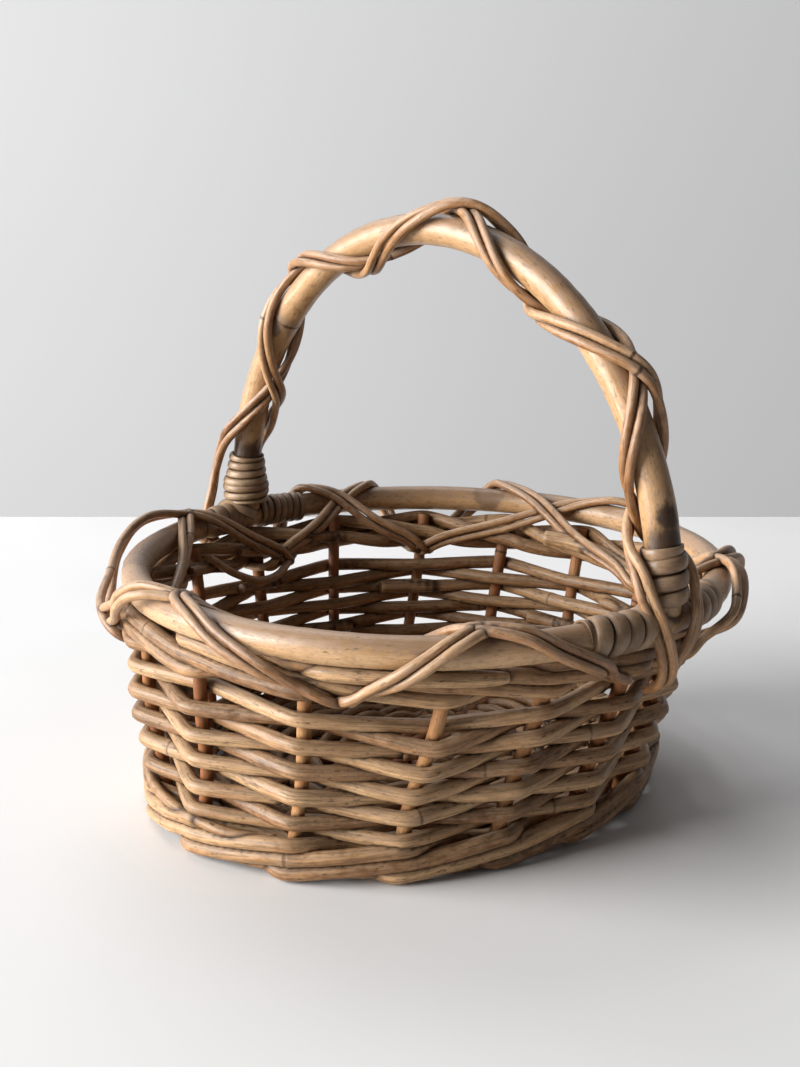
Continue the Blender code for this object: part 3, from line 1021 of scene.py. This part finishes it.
def lace_turn(top, bottom, next_top, loose, over):
    """Points of one turn: angle in degrees, on rim or wall, outward, height."""
    edge = ROD_OUT + ROD_REACH
    lift = 0.0036 * over
    out = RIM_R + LACE_R + 0.0002
    down = (
        (0.00, True, 0.0, out - 0.0006 + 0.1 * lift),
        (0.22, True, 0.0066 + 0.6 * loose, 0.0060 + 0.3 * lift + 0.5 * loose),
        (0.42, True, out + loose, -0.0008 + 0.3 * loose),
        (0.64, True, 0.0082 + loose, -0.0090),
        (0.84, False, edge + 0.0026 + 0.6 * loose, 0.0940),
        (1.00, False, edge + 0.0010, 0.0886),
    )
    up = (
        (0.05, False, 0.0012, 0.0856),
        (0.10, False, -edge - 0.0006, 0.0868),
        (0.25, False, -edge - 0.0022 - 0.6 * lift, 0.0940),
        (0.55, False, -edge - 0.0006 - lift, 0.1030),
        (0.83, True, -0.0078 - 0.8 * lift, 0.0036 + 0.3 * lift),
    )
    points = [(top + (bottom - top) * share, *place) for share, *place in down]
    return points + [(bottom + (next_top - bottom) * share, *place) for share, *place in up]


def build_rim_lacing():
    """Two pairs that run opposite ways; each starts and ends out of sight."""
    heart_in, heart_down = -0.0020, -0.0080
    for prefix, turns, over, seed, seam in (
        ("rim_lacing_a", LACING_A, 1.0, 61, 2),
        ("rim_lacing_b", LACING_B, 0.0, 71, 3),
    ):
        points = []
        cores = []
        spreads = []
        for top, bottom, next_top, loose in turns:
            for angle, on_rim, outward, height in lace_turn(top, bottom, next_top, loose, over):
                theta = radians(angle)
                if on_rim:
                    points.append(rim_point(theta, outward, height))
                else:
                    points.append(wall_point(theta, height, outward))
                cores.append(rim_point(theta, heart_in, heart_down))
                spreads.append((loose * 0.35 if outward > 0.005 else 0.0, 0.0, 0.0))
        first = seam * len(points) // len(turns) + 6
        path, heart, wide = (
            catmull(values[first:] + values[:first + 1], 14) for values in (points, cores, spreads)
        )
        pair_of_rods(prefix, path, heart, wide[:, 0], seed)


# Where the handle's lacing runs on below the bindings, from the middle of the
# handle's foot on the rim: out along the handle's plane, sideways, and up.
RIGHT_NEAR = (
    (-0.0030, -0.0132, 0.0150),
    (0.0008, -0.0142, 0.0060),
    (0.0062, -0.0132, -0.0032),
    (0.0088, -0.0112, -0.0125),
    (0.0084, -0.0075, -0.0215),
    (0.0056, -0.0035, -0.0295),
    (0.0010, -0.0006, -0.0355),
    (-0.0060, 0.0015, -0.0385),
)
RIGHT_FAR = (
    (0.0035, 0.0120, 0.0150),
    (0.0065, 0.0118, 0.0045),
    (0.0105, 0.0092, -0.0045),
    (0.0108, 0.0045, -0.0140),
    (0.0076, 0.0008, -0.0230),
    (0.0022, -0.0015, -0.0300),
)
LEFT_NEAR = (
    (0.0100, -0.0118, 0.0200),
    (0.0112, -0.0128, 0.0110),
    (0.0112, -0.0150, 0.0020),
    (0.0122, -0.0178, -0.0055),
    (0.0102, -0.0180, -0.0140),
    (0.0040, -0.0160, -0.0220),
    (-0.0040, -0.0140, -0.0280),
)
LEFT_FAR = (
    (0.0090, 0.0118, 0.0200),
    (0.0112, 0.0130, 0.0100),
    (0.0122, 0.0140, 0.0000),
    (0.0122, 0.0130, -0.0100),
    (0.0090, 0.0110, -0.0200),
    (0.0010, 0.0090, -0.0270),
)


def tail_points(table, side):
    """One table at the right foot, side 1, or at the left, side -1."""
    foot = MIDDLE + np.array([side * RIM_RADIUS, 0.0, HANDLE_FOOT_Z])
    return [foot + np.array([side * out, across, up]) for out, across, up in table]


ARCH_LINE = np.array([handle_point(pi * k / 720) for k in range(721)])


def lacing_core(spot):
    """What the handle's lacing lies on: the arch, and the rim below it."""
    if spot[2] > HANDLE_FOOT_Z + 0.012:
        return ARCH_LINE[np.argmin(np.sum((ARCH_LINE - spot) ** 2, axis=1))]
    side = 1.0 if spot[0] > MIDDLE[0] else -1.0
    return MIDDLE + np.array([side * (RIM_RADIUS - 0.006), 0.0, 0.108])


def build_handle_lacing():
    """Two pairs wound opposite ways round the arch, then down past its feet."""
    swapped_crossing = 5
    spots = np.radians(np.linspace(10.5, 168.0, 141))
    phases = np.interp(np.degrees(spots), CROSSINGS, [0.5 * k for k in range(-1, 8)])
    for _ in range(20):
        phases[1:-1] = (phases[:-2] + phases[1:-1] + phases[2:]) / 3.0
    for prefix, direction, seed in (("handle_lacing_a", 1.0, 81), ("handle_lacing_b", -1.0, 91)):
        points = []
        for t, phase in zip(spots, phases):
            crossing = abs((2.0 * phase + 0.5) % 1.0 - 0.5)
            swapped = int(floor(2.0 * phase + 0.5)) == swapped_crossing
            above = (direction < 0.0) != swapped
            layer = 0.0040 * exp(-((crossing / 0.20) ** 2)) if above else 0.0
            radius = HANDLE_R + LACE_R + 0.0005 + layer
            radius += 0.0007 * sin(pi * crossing) ** 2
            radius += 0.0034 * ease((t - radians(160.0)) / radians(8.0))
            radius += 0.0018 * ease((radians(16.0) - t) / radians(6.0))
            if direction < 0.0:
                phase -= 0.09 * hump(t, 114.0, 8.0)
                radius += 0.0010 * hump(t, 111.0, 7.0)
            turn = pi + direction * TAU * phase
            _, outward, side = handle_frame(t)
            around = outward * cos(turn) + side * sin(turn)
            points.append(handle_point(t) + around * radius)
        near_right = points[0][1] < MIDDLE[1]
        near_left = points[-1][1] < MIDDLE[1]
        right = tail_points(RIGHT_NEAR if near_right else RIGHT_FAR, 1.0)
        left = tail_points(LEFT_NEAR if near_left else LEFT_FAR, -1.0)
        head = catmull(right[::-1] + points[:1] + points[4:5], 10)[:-10]
        tail = catmull(points[-5:-4] + points[-1:] + left, 10)[10:]
        path = resample(np.vstack([head, points[1:-1], tail]), 0.002)
        for _ in range(12):
            path[1:-1] = 0.25 * path[:-2] + 0.5 * path[1:-1] + 0.25 * path[2:]
        cores = np.array([lacing_core(spot) for spot in path])
        for _ in range(12):
            cores[1:-1] = (cores[:-2] + cores[1:-1] + cores[2:]) / 3.0
        pair_of_rods(prefix, path, cores, np.zeros(len(path)), seed)
    curl = wall_line((
        (203.0, 0.1000, -0.0100),
        (197.0, 0.0900, -0.0150),
        (190.0, 0.0838, -0.0190),
        (182.0, 0.0835, -0.0180),
        (175.5, 0.0875, -0.0130),
        (171.0, 0.0900, -0.0060),
    ))
    node = "handle_lacing_a_2"
    rod(node + "_tail", catmull(curl, 10), LACE_R, LACING, node, "lacing_rod", random.Random(99),
        sides=12, marks=[], tint=0.2)


# ---- the studio
VIEW_TURN = radians(45.0)


def view_side(right, back, up):
    """A place given along the view: to its right, away along it, and up."""
    x = right * cos(VIEW_TURN) - back * sin(VIEW_TURN)
    y = right * sin(VIEW_TURN) + back * cos(VIEW_TURN)
    return (x, y, up)


def point_at(obj, aim):
    heading = Vector(aim) - Vector(obj.location)
    obj.rotation_euler = heading.to_track_quat("-Z", "Y").to_euler()


def stage_plane(name, corners, material):
    mesh = bpy.data.meshes.new(name)
    mesh.from_pydata(corners, [], [(0, 1, 2, 3)])
    mesh.materials.append(material)
    add_object(name, mesh)


def build_stage():
    """A pale table top and, well behind it, a wall that glows more brightly towards its left: painted
    light standing in for a wall lit from its left side.
    """
    table = Graph("table_top")
    coords = table.node("TexCoord", {}).outputs["Object"]
    cloud = table.noise(coords, 7.0, 3.0, 0.5)
    tone = table.mix(cloud, colour(214, 215, 217), colour(220, 221, 223))
    table.link(tone, table.shader.inputs["Base Color"])
    table.link(table.remap(cloud, 0.3, 0.7, 0.46, 0.56), table.shader.inputs["Roughness"])
    table.shader.inputs["Specular IOR Level"].default_value = 0.15
    wall = Graph("backdrop")
    coords = wall.node("TexCoord", {}).outputs["Object"]
    cloud = wall.noise(coords, 0.8, 2.0, 0.5)
    for socket, dark, pale in (
        ("Base Color", colour(112, 113, 114), colour(120, 121, 122)),
        ("Emission Color", colour(230, 230, 232), colour(236, 236, 238)),
    ):
        wall.link(wall.mix(cloud, dark, pale), wall.shader.inputs[socket])
    # Painted light: the wall's glow falls from left to right as if a window lit it from the left.
    rightward = {0: coords, 1: (0.7071, 0.7071, 0.0)}
    sideways = wall.node("VectorMath", rightward, operation="DOT_PRODUCT")
    glow = wall.remap(sideways.outputs["Value"], -1.1, 1.1, 0.60, 0.44)
    wall.link(glow, wall.shader.inputs["Emission Strength"])
    wall.shader.inputs["Roughness"].default_value = 0.9
    near, edge, wide = -3.0, 0.56, 3.0
    corners = ((-wide, near), (wide, near), (wide, edge), (-wide, edge))
    stage_plane("floor", [view_side(x, y, 0.0) for x, y in corners], table.material)
    far, low, high, wide = 2.2, -3.0, 4.0, 6.0
    corners = ((-wide, low), (wide, low), (wide, high), (-wide, high))
    stage_plane("backdrop", [view_side(x, far, z) for x, z in corners], wall.material)


def area_light(name, place, size, power, tone):
    data = bpy.data.lights.new(name, "AREA")
    data.shape = "RECTANGLE"
    data.size, data.size_y = size
    data.energy = power
    data.color = tone
    obj = add_object(name, data)
    obj.location = view_side(*place)
    point_at(obj, (0.0, 0.0, 0.10))


def build_light():
    world = bpy.data.worlds.new("studio")
    bpy.context.scene.world = world
    world.use_nodes = True
    shade = world.node_tree.nodes["Background"]
    shade.inputs["Color"].default_value = (1.0, 0.98, 0.96, 1.0)
    shade.inputs["Strength"].default_value = 0.095
    area_light("window", (-3.95, -0.9, 1.35), (3.4, 3.0), 535.0, (1.0, 0.985, 0.96))
    area_light("overhead", (-0.5, 1.1, 1.8), (1.4, 1.4), 15.0, (1.0, 0.99, 0.98))


def build_camera():
    film = 36.0
    zoom = 1380.0 / 1067.0
    elevation = radians(14.0)
    distance = 0.659
    data = bpy.data.cameras.new("camera")
    data.sensor_width = film
    data.lens = zoom * film
    data.clip_start = 0.01
    obj = add_object("camera", data)
    target = MIDDLE + np.array([-0.00863, -0.00863, 0.124])
    back = np.array(view_side(0.0, -cos(elevation), sin(elevation)))
    obj.location = tuple(target + back * distance)
    point_at(obj, tuple(target))
    bpy.context.scene.camera = obj


build_base()
build_wale("foot_wale", FOOT_WALE_Z, -1.0, 400, (4, 11, 14, 1))
build_stakes()
build_weave()
build_wale("top_wale", TOP_WALE_Z, 1.0, 450, (8, 7, 2, 9))
build_wale_ends()
build_rim()
build_handle()
build_bindings()
build_rim_lacing()
build_handle_lacing()
shade_crevices()
build_stage()
build_light()
build_camera()
bpy.context.scene.view_settings.view_transform = "Standard"
